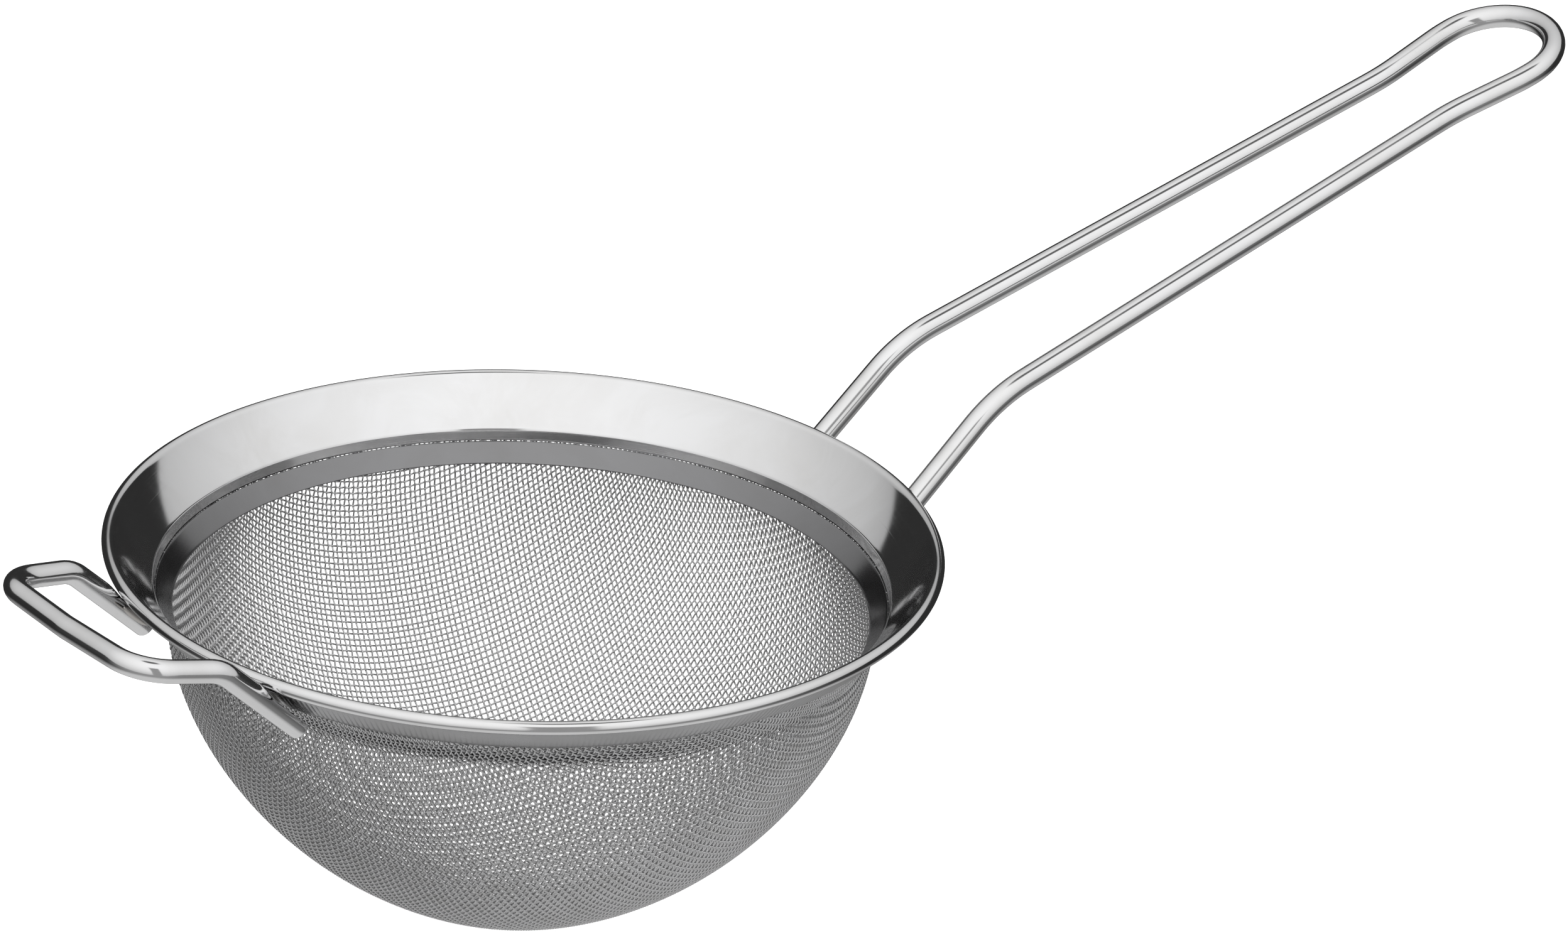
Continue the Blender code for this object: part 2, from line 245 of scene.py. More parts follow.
def make_piece(name, points, faces, material, nodes, corner_map=None):
    """Make one finished piece that stands for CAD nodes and rides on the strainer.

    points is an array of places in metres and faces a list of arrays of point
    numbers. The faces are turned over if they enclose a negative volume.
    """
    points = np.asarray(points, dtype=np.float64).reshape(-1, 3)
    outwards = enclosed_volume(points, faces) >= 0.0
    if not outwards:
        faces = [block[:, ::-1] for block in faces]
    sizes = np.concatenate([np.full(len(block), block.shape[1]) for block in faces])
    corners = np.concatenate([block.ravel() for block in faces])
    mesh = bpy.data.meshes.new(name)
    mesh.vertices.add(len(points))
    mesh.vertices.foreach_set("co", points.astype(np.float32).ravel())
    mesh.loops.add(len(corners))
    mesh.loops.foreach_set("vertex_index", corners.astype(np.int32))
    mesh.polygons.add(len(sizes))
    mesh.polygons.foreach_set("loop_start", (np.cumsum(sizes) - sizes).astype(np.int32))
    mesh.update(calc_edges=True)
    if corner_map is not None:
        if not outwards:
            corner_map = turned_over(corner_map, sizes)
        layer = mesh.uv_layers.new(name="UVMap")
        layer.data.foreach_set("uv", corner_map.astype(np.float32).ravel())
    mesh.shade_smooth()
    mesh.materials.append(material)
    piece = bpy.data.objects.new(name, mesh)
    bpy.context.scene.collection.objects.link(piece)
    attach(piece, BODY)
    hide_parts(*nodes)
    return piece


def turned_over(corner_map, sizes):
    """Corner coordinates put in the order of faces that were turned over."""
    starts = np.repeat(np.cumsum(sizes) - sizes, sizes)
    within = np.arange(len(corner_map)) - starts
    return corner_map[starts + np.repeat(sizes, sizes) - 1 - within]


def turned_ring(profile, steps=RING_STEPS):
    """A closed outline of (radius, height) turned round Z.

    Point (i, j) is (r_i cos a_j, r_i sin a_j, z_i) with a_j going once round.
    Returns the points, the faces and a map of (distance round, distance along).
    """
    turn = np.linspace(0.0, math.tau, steps, endpoint=False)
    radius, height = profile[:, :1], profile[:, 1:]
    points = np.stack([radius * np.cos(turn), radius * np.sin(turn),
                       np.broadcast_to(height, (len(profile), steps))], axis=-1)
    closed = np.vstack([profile, profile[:1]])
    along = distance_along(closed)
    around = np.linspace(0.0, math.tau * profile[:, 0].mean(), steps + 1)
    return points, ring_faces(len(profile), steps), ring_map(along, around)


def distance_along(points):
    """Distance from the first point to each point of a line."""
    steps = np.linalg.norm(np.diff(points, axis=0), axis=1)
    return np.concatenate([[0.0], np.cumsum(steps)])


def offset(points, distance):
    """Points moved sideways from a line of (radius, height) points."""
    along = np.gradient(points, axis=0)
    along /= np.linalg.norm(along, axis=1)[:, None]
    return points + distance * np.stack([along[:, 1], -along[:, 0]], axis=1)


def rounded_sheet(line, thickness, steps=5):
    """Closed outline of a sheet that follows a line, with its two edges rounded.

    Each edge is a half circle as wide as the sheet, so the line is first cut
    back by half the thickness at both ends.
    """
    half = thickness / 2.0
    travelled = distance_along(line)
    kept = np.linspace(half, travelled[-1] - half, len(line))
    line = np.stack([np.interp(kept, travelled, line[:, k]) for k in (0, 1)], axis=1)
    ends = []
    for at, inner in ((-1, -2), (0, 1)):
        ahead = line[at] - line[inner]
        ahead /= np.linalg.norm(ahead)
        right = np.array([ahead[1], -ahead[0]])
        turn = np.linspace(0.0, math.pi, steps + 2)[1:-1, None]
        ends.append(line[at] + half * (right * np.cos(turn) + ahead * np.sin(turn)))
    return np.vstack([offset(line, half), ends[0], offset(line, -half)[::-1], ends[1]])


# ---------------------------------------------------------------- rim and bands

def bead_centre(rim):
    """Radius and height of the bead's centre circle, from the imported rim."""
    return RIM_BOX[1].y - rim.bead, RIM_BOX[1].z - rim.bead


def flange_point(rim, along, below=0.0):
    """Radius and height on the flange's upper face, at a distance from the bead.

    The face touches the bead's circle, falls inwards at the flange's slope and
    sags by a parabola. below moves the point off the face, out of the bowl.
    """
    along = np.asarray(along, dtype=float)
    radius, height = bead_centre(rim)
    part = along / rim.run
    drop = below + rim.sag * 4.0 * part * (1.0 - part) - rim.bead
    return np.stack([radius - along * math.cos(rim.slope) + drop * math.sin(rim.slope),
                     height - along * math.sin(rim.slope) - drop * math.cos(rim.slope)], axis=-1)


def rim_face(rim):
    """The flange's upper face: the flange, then the turned lip.

    The lip is an arc from the flange's slope to the lip's slope and a short
    straight edge.
    """
    face = flange_point(rim, np.linspace(0.0, rim.run, 30))
    turn = np.linspace(rim.slope, rim.lip_slope, 14)[1:]
    lip = face[-1] + rim.lip_radius * np.stack(
        [math.sin(rim.slope) - np.sin(turn), np.cos(turn) - math.cos(rim.slope)], axis=1)
    edge = lip[-1] - np.linspace(0.15, 1.0, 6)[:, None] * rim.lip_run * np.array(
        [math.cos(rim.lip_slope), math.sin(rim.lip_slope)])
    return np.vstack([face, lip, edge])


def rim_profile(rim):
    """Outline of the rim: its upper face, its underside and the rolled bead.

    The bead is a circle that touches the flange's face; where its rolled edge
    comes back to the underside it leaves a narrow seam. Along the lip the sheet
    thins to half at its rounded edge.
    """
    upper = rim_face(rim)
    centre = np.array(bead_centre(rim))
    part = np.clip((distance_along(upper) - rim.run) / rim.lip_run, 0.0, 1.0)
    thickness = rim.sheet * (1.0 - part / 2.0)
    lower = upper + (offset(upper, -rim.sheet) - upper) * (thickness / rim.sheet)[:, None]
    half = (upper[-1] - lower[-1]) / 2.0
    ahead = np.array([half[1], -half[0]])
    turn = np.linspace(0.0, math.pi, 7)[1:-1, None]
    tip = (upper[-1] + lower[-1]) / 2.0 + half * np.cos(turn) + ahead * np.sin(turn)
    lower = lower[::-1]
    seam_depth = 0.3 * rim.sheet
    seam_angle = 0.12
    lower = lower[np.linalg.norm(lower - centre, axis=1) > rim.bead + seam_depth]
    meeting = math.acos((rim.bead - rim.sheet) / rim.bead)
    first = math.pi / 2.0 + rim.slope
    seam_turn = first + meeting - math.tau
    sweep = np.linspace(seam_turn + seam_angle, first, 44)[:-1, None]
    bead = centre + rim.bead * np.hstack([np.cos(sweep), np.sin(sweep)])
    seam = centre + (rim.bead - seam_depth) * np.array([[math.cos(seam_turn), math.sin(seam_turn)]])
    return np.vstack([upper, tip, lower, seam, bead])


def band_profile(rim, face):
    """Outline of the thin band that runs from the lip's edge to the neck.

    Its face starts just under the end of the rim's face and falls straight to
    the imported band's lower edge.
    """
    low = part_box("inner_band")[0]
    half = rim.band / 2.0
    bottom = np.array([BAND_LOW_RADIUS, low.z + half])
    ahead = bottom - face[-1]
    ahead /= np.linalg.norm(ahead)
    top = face[-1] + half * np.array([-ahead[1], ahead[0]]) + BAND_GAP * ahead
    line = top + np.linspace(0.0, 1.0, 12)[:, None] * (bottom - top)
    return rounded_sheet(line, rim.band)


def skirt_points(rim, steps):
    """Points of the skirt: a turned sheet whose outer face carries pressed ribs.

    The ribs are the square of a raised cosine of the azimuth, shifted by two
    slow sines so that their spacing wanders as the cloth's wires do.
    """
    below = rim.sheet * 2.0 + SKIRT_GAP + rim.band / 2.0
    line = flange_point(rim, np.linspace(rim.skirt_start, rim.skirt_end, 7), below)
    profile = rounded_sheet(line, rim.band, steps=3)
    points, faces, corner_map = turned_ring(profile, steps)
    turn = np.linspace(0.0, math.tau, steps, endpoint=False)
    wander = 2.6 * np.sin(3.0 * turn + 0.7) + 1.9 * np.sin(7.0 * turn + 2.1)
    strength = 0.72 + 0.28 * np.sin(5.0 * turn + 1.3) * np.sin(2.0 * turn)
    crest = (0.5 + 0.5 * np.cos(rim.ribs * turn + wander)) ** 2 * strength
    normal = np.array([math.sin(rim.slope), -math.cos(rim.slope)])
    outward = (profile - profile.mean(axis=0)) @ normal
    depth = np.clip(outward / (rim.band / 2.0), 0.0, 1.0)
    lift = -rim.rib_height * depth[:, None] * (1.0 - crest)
    points[..., 0] += lift * normal[0] * np.cos(turn)
    points[..., 1] += lift * normal[0] * np.sin(turn)
    points[..., 2] += lift * normal[1]
    return points, faces, corner_map


# ---------------------------------------------------------------- cloth

class BowlLine:
    """Middle of the cloth as radius and height against distance from the pole."""

    def __init__(self, rim, cloth):
        """Lay the line out.

        The bowl is a superellipse, r = neck cos(t)^(2/n), z = -shoulder - drop
        sin(t)^(2/n), eased into a small foot that stands on the floor. Above it
        the cloth runs straight up to the flange and lies along its underside.
        """
        foot_ease, corner_ease, spare = 0.06 * MM, 1.2 * MM, 3.0 * MM
        foot_height = 1.04 * cloth.wire
        power = 2.0 / cloth.power
        turn = np.linspace(math.pi / 2.0, 0.0, 900)
        cosine = np.clip(np.cos(turn), 0.0, 1.0)
        rim_height = bead_centre(rim)[1]
        bowl = np.stack([cloth.neck * cosine ** power,
                         rim_height - cloth.shoulder - cloth.drop * np.sin(turn) ** power], axis=1)
        clear = bowl[:, 1] - foot_height
        bowl[:, 1] = foot_height + (clear + np.sqrt(clear ** 2 + foot_ease ** 2)) / 2.0
        collar = flange_point(rim, np.linspace(cloth.turn, cloth.top - spare, 80), cloth.below)
        line = np.vstack([bowl, collar])
        travelled = distance_along(line)
        even = np.linspace(0.0, travelled[-1], 3000)
        line = np.stack([np.interp(even, travelled, line[:, k]) for k in (0, 1)], axis=1)
        self.distance = even
        self.line = self.eased(line, round(corner_ease / (even[1] - even[0])))
        self.slope = np.gradient(self.line, even, axis=0)
        edge = flange_point(rim, cloth.top, cloth.below)
        self.end = even[np.argmin(np.linalg.norm(self.line - edge, axis=1))]

    @staticmethod
    def eased(line, width):
        """A running mean over the line, which rounds its corners and keeps its ends."""
        window = np.hanning(2 * width + 3)[1:-1]
        window /= window.sum()
        before = 2.0 * line[:1] - line[width:0:-1]
        before[:, 1] = line[width:0:-1, 1]
        after = 2.0 * line[-1:] - line[-2:-width - 2:-1]
        long = np.vstack([before, line, after])
        return np.stack([np.convolve(long[:, k], window, mode="valid") for k in (0, 1)], axis=1)

    def at(self, distance):
        """Radius, height and their slopes at distances from the pole."""
        columns = (*self.line.T, *self.slope.T)
        return [np.interp(distance, self.distance, column) for column in columns]


def draped(bowl, cloth, a, b):
    """Where the flat cloth's point (a, b) comes to lie on the bowl, and the outward normal.

    With rho and f the polar coordinates of (a, b), the distance from the pole is
    rho (1 + draw d (rho / end)^2), where d is 0 along the wires and 1 on their
    diagonals. The azimuth is f plus shear (s / r - 1) sin(4 f) / 4, which keeps
    the wires' spacing along the two wire directions and squeezes the diagonals.
    """
    rho = np.hypot(a, b)
    turn = np.arctan2(b, a)
    diagonal = (1.0 - np.cos(4.0 * turn)) / 2.0
    distance = rho * (1.0 + cloth.draw * diagonal * (rho / bowl.end) ** 2)
    radius, height, radius_slope, height_slope = bowl.at(distance)
    flat_reach, tiny = 3.0 * MM, 0.001 * MM
    excess = distance / np.maximum(radius, tiny) - 1.0
    excess = np.where(distance < flat_reach, 0.0, np.clip(excess, 0.0, None))
    azimuth = cloth.weave + turn + cloth.shear * excess * np.sin(4.0 * turn) / 4.0
    cosine, sine = np.cos(azimuth), np.sin(azimuth)
    points = np.stack([radius * cosine, radius * sine, height], axis=-1)
    normal = np.stack([height_slope * cosine, height_slope * sine, -radius_slope], axis=-1)
    normal /= np.linalg.norm(normal, axis=-1, keepdims=True)
    return points, normal, distance


def cloth_lines(count, pitch, random):
    """Places of one set of wires in the flat cloth, and the places half-way between.

    Each wire is off its place by a random slip and a slow swell, in pitches.
    """
    slip, swell, swell_rate = 0.035, 0.10, 0.173
    index = np.arange(-count, count + 1)
    drift = slip * random.standard_normal(len(index))
    drift += swell * np.sin(index * swell_rate + random.uniform(0.0, math.tau))
    places = (index + drift) * pitch
    halves = np.arange(-2 * count, 2 * count + 1) / 2.0
    return index, places, halves, np.interp(halves, index, places)


def woven_wires(bowl, cloth, across, along, is_warp):
    """Tubes of one set of wires, with rings at each crossing and half-way between.

    Each wire goes over and under the other set: its middle leaves the cloth's
    middle by the wire's radius times cos(pi k), k counting crossings, and its
    neighbour goes the other way. Returns the rings, a ring's validity, and the
    wires in rows.
    """
    index, places, _, _ = across
    _, _, halves, samples = along
    near, far = np.meshgrid(samples, places)
    a, b = (near, far) if is_warp else (far, near)
    points, normal, distance = draped(bowl, cloth, a, b)
    wave = np.cos(math.pi * halves)[None, :] * np.where(index % 2 == 0, 1.0, -1.0)[:, None]
    clearance = 1.02
    lift = cloth.wire / 2.0 * clearance * wave * (1.0 if is_warp else -1.0)
    middle = points + lift[..., None] * normal
    ahead = np.gradient(middle, axis=1)
    ahead /= np.linalg.norm(ahead, axis=-1, keepdims=True)
    side = np.cross(ahead, normal)
    side /= np.linalg.norm(side, axis=-1, keepdims=True)
    upper = np.cross(side, ahead)
    turn = (np.arange(CLOTH_SIDES) + 0.5) * math.tau / CLOTH_SIDES
    radius = cloth.wire / 2.0
    rings = (middle[:, :, None] + radius * (np.cos(turn)[:, None] * upper[:, :, None]
                                            + np.sin(turn)[:, None] * side[:, :, None]))
    return rings, distance <= bowl.end


def woven_piece(rings, used):
    """Points and faces of the part of a set of wires whose rings are used.

    A ring is joined to the next one where both are used, and each wire's two
    ends are closed by a fan of quads.
    """
    wires, samples, sides = rings.shape[:3]
    grid = np.arange(wires * samples * sides).reshape(wires, samples, sides)
    joined = used[:, :-1] & used[:, 1:]
    ring, following = grid[:, :-1][joined], grid[:, 1:][joined]
    quads = np.stack([ring, np.roll(ring, -1, axis=1), np.roll(following, -1, axis=1), following],
                     axis=-1).reshape(-1, 4)
    padded = np.pad(used, ((0, 0), (1, 1)))
    first = grid[used & ~padded[:, :-2]]
    last = grid[used & ~padded[:, 2:]]
    fan = [[0, k, k + 1, k + 2] for k in range(1, sides - 1, 2)]
    caps = [first[:, corners[::-1]] for corners in fan] + [last[:, corners] for corners in fan]
    faces = np.concatenate([quads, *caps])
    kept, renumbered = np.unique(faces, return_inverse=True)
    return rings.reshape(-1, 3)[kept], [renumbered.reshape(faces.shape)]


# ---------------------------------------------------------------- wires

def rounded(points, radii, step):
    """A path through corner points, each corner replaced by an arc that touches its legs.

    step is the angle in radians between the points of an arc.
    """
    path = [Vector(points[0])]
    for before, corner, after, radius in zip(points, points[1:], points[2:], radii):
        corner = Vector(corner)
        back = (Vector(before) - corner).normalized()
        ahead = (Vector(after) - corner).normalized()
        half = back.angle(ahead) / 2.0
        centre = corner + (back + ahead).normalized() * (radius / math.sin(half))
        start = corner + back * (radius / math.tan(half)) - centre
        finish = corner + ahead * (radius / math.tan(half)) - centre
        turn = start.angle(finish)
        count = max(2, round(turn / step))
        for i in range(count + 1):
            part = i / count
            path.append(centre + (start * math.sin((1.0 - part) * turn)
                                  + finish * math.sin(part * turn)) / math.sin(turn))
    path.append(Vector(points[-1]))
    return path


def mirrored(half):
    """A half path followed by its mirror image across the XZ plane."""
    return half + [Vector((p.x, -p.y, p.z)) for p in half[-2::-1]]


def handle_path(wires):
    """Centre line of the hairpin: leg, bend, waist, drop-shaped loop and back.

    The loop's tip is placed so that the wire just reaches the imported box.
    """
    slope = math.radians(16.3)
    bend_x, bend_z = 87.5 * MM, 12.0 * MM
    root_x, root_splay = 63.4 * MM, 0.5 * MM
    spread, waist, loop = 13.4 * MM, 9.4 * MM, 11.2 * MM
    waist_at, loop_straight = 103.5 * MM, 2.2 * MM
    bends = [28.0 * MM, 40.0 * MM, 26.0 * MM]
    tip_at = (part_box("handle_wire")[1].x - wires.wire - bend_x) / math.cos(slope)

    def along(distance):
        return bend_x + distance * math.cos(slope), bend_z + distance * math.sin(slope)

    waist_x, waist_z = along(waist_at)
    near_x, near_z = along(tip_at - loop - loop_straight)
    wide_x, wide_z = along(tip_at - loop)
    leg = [(root_x, spread + root_splay, bend_z - (bend_x - root_x) * math.tan(HANDLE_ROOT)),
           (bend_x, spread, bend_z), (waist_x, waist, waist_z),
           (near_x, loop, near_z), (wide_x, loop, wide_z)]
    half = rounded(leg, bends, step=0.03)
    for turn in np.linspace(0.0, math.pi / 2.0, 40)[1:]:
        x, z = along(tip_at - loop + loop * math.sin(turn))
        half.append(Vector((x, loop * math.cos(turn), z)))
    return lifted(mirrored(half))


def rest_path(wires):
    """Centre line of the front rest: a leg, the crossbar and the other leg."""
    slope = math.radians(10.5)
    bend_x, bend_z, tip_x = 75.2 * MM, 4.9 * MM, 59.9 * MM
    tip_half, bend_half, bar_half = 22.6 * MM, 22.1 * MM, 20.2 * MM
    bar_bow = 0.8 * MM
    bends = [7.0 * MM, 7.5 * MM]
    middle_x = -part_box("front_rest_wire")[0].x - wires.wire
    bar_x = middle_x - bar_bow
    bar_z = bend_z + (bar_x - bend_x) * math.tan(slope)
    leg = [(-tip_x, tip_half, bend_z - (bend_x - tip_x) * math.tan(REST_ROOT)),
           (-bend_x, bend_half, bend_z), (-bar_x, bar_half, bar_z), (-middle_x, 0.0, bar_z)]
    return lifted(mirrored(rounded(leg, bends, step=0.04)))


def lifted(path):
    """A path given from the rim plane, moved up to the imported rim's height."""
    height = bead_centre(bpy.context.scene.strainer_rim)[1]
    return np.array([(p.x, p.y, p.z + height) for p in path])


def wire_surface(path, wires, rim):
    """A round wire along a path, pressed flat on top near the rim, its ends rounded.

    A ring point is c + u min(R cos(t), R - press) + v R sin(t), where u is the
    vertical squared to the path. press rises over a few millimetres inside the
    bead. Near an end the radius follows a quarter circle of the end rounding.
    """
    step, press_reach, press_ease = 0.8 * MM, 4.0 * MM, 3.0 * MM
    travelled = distance_along(path)
    total = travelled[-1]
    body = np.linspace(wires.chamfer, total - wires.chamfer, round(total / step))
    quarter = wires.chamfer * (1.0 - np.cos(np.linspace(0.0, math.pi / 2.0, 6)[:-1]))
    places = np.concatenate([quarter, body, total - quarter[::-1]])
    middle = np.stack([np.interp(places, travelled, path[:, k]) for k in range(3)], axis=1)
    ahead = np.gradient(middle, axis=0)
    for _ in range(2):
        ahead[1:-1] = (ahead[:-2] + 2.0 * ahead[1:-1] + ahead[2:]) / 4.0
    ahead /= np.linalg.norm(ahead, axis=1)[:, None]
    vertical = np.array([0.0, 0.0, 1.0])
    upper = vertical - ahead * ahead[:, 2:]
    upper /= np.linalg.norm(upper, axis=1)[:, None]
    side = np.cross(ahead, upper)
    to_end = np.minimum(places, total - places)
    short = np.clip(1.0 - to_end / wires.chamfer, 0.0, 1.0)
    narrowing = 1.0 - wires.chamfer / wires.wire * (1.0 - np.sqrt(1.0 - short ** 2))
    inward = bead_centre(rim)[0] + press_reach - np.hypot(middle[:, 0], middle[:, 1])
    ease = np.clip(inward / press_ease, 0.0, 1.0)
    press = wires.squash * ease * ease * (3.0 - 2.0 * ease)
    turn = np.linspace(0.0, math.tau, WIRE_SIDES, endpoint=False)
    rise = np.minimum(wires.wire * np.cos(turn)[None], wires.wire - press[:, None])
    rings = (middle[:, None] + upper[:, None] * (rise * narrowing[:, None])[..., None]
             + side[:, None] * (wires.wire * narrowing[:, None] * np.sin(turn)[None])[..., None])
    around = np.linspace(0.0, math.tau * wires.wire, WIRE_SIDES + 1)
    ends = np.array([rings[0].mean(axis=0), rings[-1].mean(axis=0)])
    points = np.vstack([rings.reshape(-1, 3), ends])
    return points, capped_faces(len(places), WIRE_SIDES), capped_map(places, around)


def weld_surface(node, wires, lean):
    """A drop of weld metal in its packed place: an ellipsoid with cooling ripples.

    With t along the drop from -1 to 1, the ring radius is (1 - t^2)^0.45 of the
    weld's radius, less a ripple that repeats every half millimetre. The rings
    wander a little from side to side.
    """
    blunt, ripple_pitch, ripple_share, wander_share = 0.45, 0.5 * MM, 0.05, 0.06
    low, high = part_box(node)
    centre = np.array((low + high) / 2.0)
    outward = math.copysign(1.0, centre[0])
    ahead = np.array([outward * math.cos(lean), 0.0, math.sin(lean)])
    side = np.array([0.0, 1.0, 0.0])
    upper = np.cross(ahead, side)
    rows, columns = 46, 20
    part = -np.cos(np.linspace(0.0, math.pi, rows + 2)[1:-1])
    wave = 0.5 + 0.5 * np.cos(part * wires.weld_length / ripple_pitch * math.tau)
    radius = wires.weld_radius * (1.0 - part ** 2) ** blunt * (1.0 - ripple_share * wave)
    turn = np.linspace(0.0, math.tau, columns, endpoint=False)
    wander = wander_share * wires.weld_radius * np.sin(part * 5.0)
    rings = (centre + (part * wires.weld_length)[:, None, None] * ahead
             + (radius[:, None] * np.cos(turn)[None])[..., None] * upper
             + (radius[:, None] * np.sin(turn)[None] + wander[:, None])[..., None] * side)
    ends = np.array([centre - wires.weld_length * ahead, centre + wires.weld_length * ahead])
    points = np.vstack([rings.reshape(-1, 3), ends])
    around = np.linspace(0.0, math.tau * wires.weld_radius, columns + 1)
    return points, capped_faces(rows, columns), capped_map(part * wires.weld_length, around)


# ---------------------------------------------------------------- materials

def add(tree, kind, inputs=None, **options):
    """Add a shader node, set its options, and feed its inputs with values or sockets."""
    made = tree.nodes.new(kind)
    for key, value in options.items():
        setattr(made, key, value)
    for key, value in (inputs or {}).items():
        if isinstance(value, bpy.types.NodeSocket):
            tree.links.new(value, made.inputs[key])
        else:
            made.inputs[key].default_value = value
    return made


def new_group(name, inputs, outputs):
    """A node group with float or vector inputs and outputs, and its two end nodes."""
    group = bpy.data.node_groups.new(name, "ShaderNodeTree")
    for label, kind, value in inputs:
        socket = group.interface.new_socket(label, in_out="INPUT", socket_type=kind)
        if value is not None:
            socket.default_value = value
    for label, kind in outputs:
        group.interface.new_socket(label, in_out="OUTPUT", socket_type=kind)
    return group, group.nodes.new("NodeGroupInput"), group.nodes.new("NodeGroupOutput")


def drawn_lines_group():
    """Fine lines left by drawing, turning or polishing, along the first map direction."""
    group, given, out = new_group(
        "drawn_lines",
        [("Coordinates", "NodeSocketVector", None), ("Spacing", "NodeSocketFloat", 0.00015),
         ("Length", "NodeSocketFloat", 0.03)],
        [("Height", "NodeSocketFloat"), ("Marks", "NodeSocketFloat")])
    split = add(group, "ShaderNodeSeparateXYZ", {0: given.outputs["Coordinates"]})
    long = add(group, "ShaderNodeMath", {0: split.outputs[0], 1: given.outputs["Length"]},
               operation="DIVIDE")
    fine = add(group, "ShaderNodeMath", {0: split.outputs[1], 1: given.outputs["Spacing"]},
               operation="DIVIDE")
    place = add(group, "ShaderNodeCombineXYZ", {0: long.outputs[0], 1: fine.outputs[0]})
    noise = add(group, "ShaderNodeTexNoise", {"Vector": place.outputs[0], "Scale": 1.0, "Detail": 3.0,
                                              "Roughness": 0.6})
    marks = add(group, "ShaderNodeMapRange", {"Value": noise.outputs["Fac"], "From Min": 0.56,
                                              "From Max": 0.72}, interpolation_type="SMOOTHSTEP")
    group.links.new(noise.outputs["Fac"], out.inputs["Height"])
    group.links.new(marks.outputs[0], out.inputs["Marks"])
    return group


def handling_group():
    """Smudges and fine wear from handling: a roughness gain and a slight tint."""
    group, given, out = new_group(
        "handling",
        [("Size", "NodeSocketFloat", 0.02), ("Amount", "NodeSocketFloat", 0.05)],
        [("Gain", "NodeSocketFloat"), ("Tint", "NodeSocketColor")])
    here = add(group, "ShaderNodeTexCoord")
    scale = add(group, "ShaderNodeMath", {0: 1.0, 1: given.outputs["Size"]}, operation="DIVIDE")
    broad = add(group, "ShaderNodeTexNoise", {"Vector": here.outputs["Object"], "Scale": scale.outputs[0],
                                              "Detail": 5.0, "Roughness": 0.62, "Distortion": 0.6})
    patch = add(group, "ShaderNodeMapRange", {"Value": broad.outputs["Fac"], "From Min": 0.42,
                                              "From Max": 0.70})
    gain = add(group, "ShaderNodeMath", {0: patch.outputs[0], 1: given.outputs["Amount"]},
               operation="MULTIPLY")
    tint = add(group, "ShaderNodeMix", {"Factor": patch.outputs[0], "A": (1.0, 1.0, 1.0, 1.0),
                                        "B": (0.93, 0.925, 0.915, 1.0)}, data_type="RGBA")
    group.links.new(gain.outputs[0], out.inputs["Gain"])
    group.links.new(tint.outputs["Result"], out.inputs["Tint"])
    return group


def shared_group(name, maker):
    """A node group, made the first time that a material asks for it."""
    return bpy.data.node_groups.get(name) or maker()


def steel(name, tint, roughness, spacing, length_along, depth, smudge, ripple=0.0):
    """Stainless steel with drawn lines, handling marks and an optional slow ripple.

    spacing and length_along size the lines on the piece's map, depth is their
    bump in metres, smudge the gain in roughness, and ripple the height in
    metres of the slight unevenness that a pressed sheet keeps.
    """
    material = bpy.data.materials.new(name)
    material.use_nodes = True
    tree = material.node_tree
    shader = tree.nodes["Principled BSDF"]
    shader.inputs["Metallic"].default_value = 1.0
    where = add(tree, "ShaderNodeUVMap", uv_map="UVMap")
    lines = add(tree, "ShaderNodeGroup", node_tree=shared_group("drawn_lines", drawn_lines_group))
    lines.inputs["Spacing"].default_value = spacing
    lines.inputs["Length"].default_value = length_along
    tree.links.new(where.outputs[0], lines.inputs["Coordinates"])
    worn = add(tree, "ShaderNodeGroup", node_tree=shared_group("handling", handling_group))
    worn.inputs["Size"].default_value = 0.02
    worn.inputs["Amount"].default_value = smudge
    base = add(tree, "ShaderNodeMix", {"Factor": 1.0, "A": (*tint, 1.0), "B": worn.outputs["Tint"]},
               data_type="RGBA", blend_type="MULTIPLY")
    tree.links.new(base.outputs["Result"], shader.inputs["Base Color"])
    scratch_gain = 0.06
    scratched = add(tree, "ShaderNodeMath", {0: lines.outputs["Marks"], 1: scratch_gain, 2: roughness},
                    operation="MULTIPLY_ADD")
    rough = add(tree, "ShaderNodeMath", {0: scratched.outputs[0], 1: worn.outputs["Gain"]}, operation="ADD")
    tree.links.new(rough.outputs[0], shader.inputs["Roughness"])
    bump = add(tree, "ShaderNodeBump", {"Strength": 1.0, "Distance": depth,
                                        "Height": lines.outputs["Height"]})
    if ripple:
        here = add(tree, "ShaderNodeTexCoord")
        slow = add(tree, "ShaderNodeTexNoise", {"Vector": here.outputs["Object"], "Scale": 95.0,
                                                "Detail": 2.0, "Roughness": 0.5})
        wave = add(tree, "ShaderNodeBump", {"Strength": 1.0, "Distance": ripple,
                                            "Height": slow.outputs["Fac"]})
        tree.links.new(wave.outputs[0], bump.inputs["Normal"])
    tree.links.new(bump.outputs[0], shader.inputs["Normal"])
    return material


def drawn_wire(name, finish):
    """Polished round wire, with its drawn lines along it and a little less polish."""
    dulling = 0.02
    return steel(name, finish.polished, finish.polish + dulling, spacing=50.0 * MM,
                 length_along=0.35 * MM, depth=0.0015 * MM, smudge=0.06)


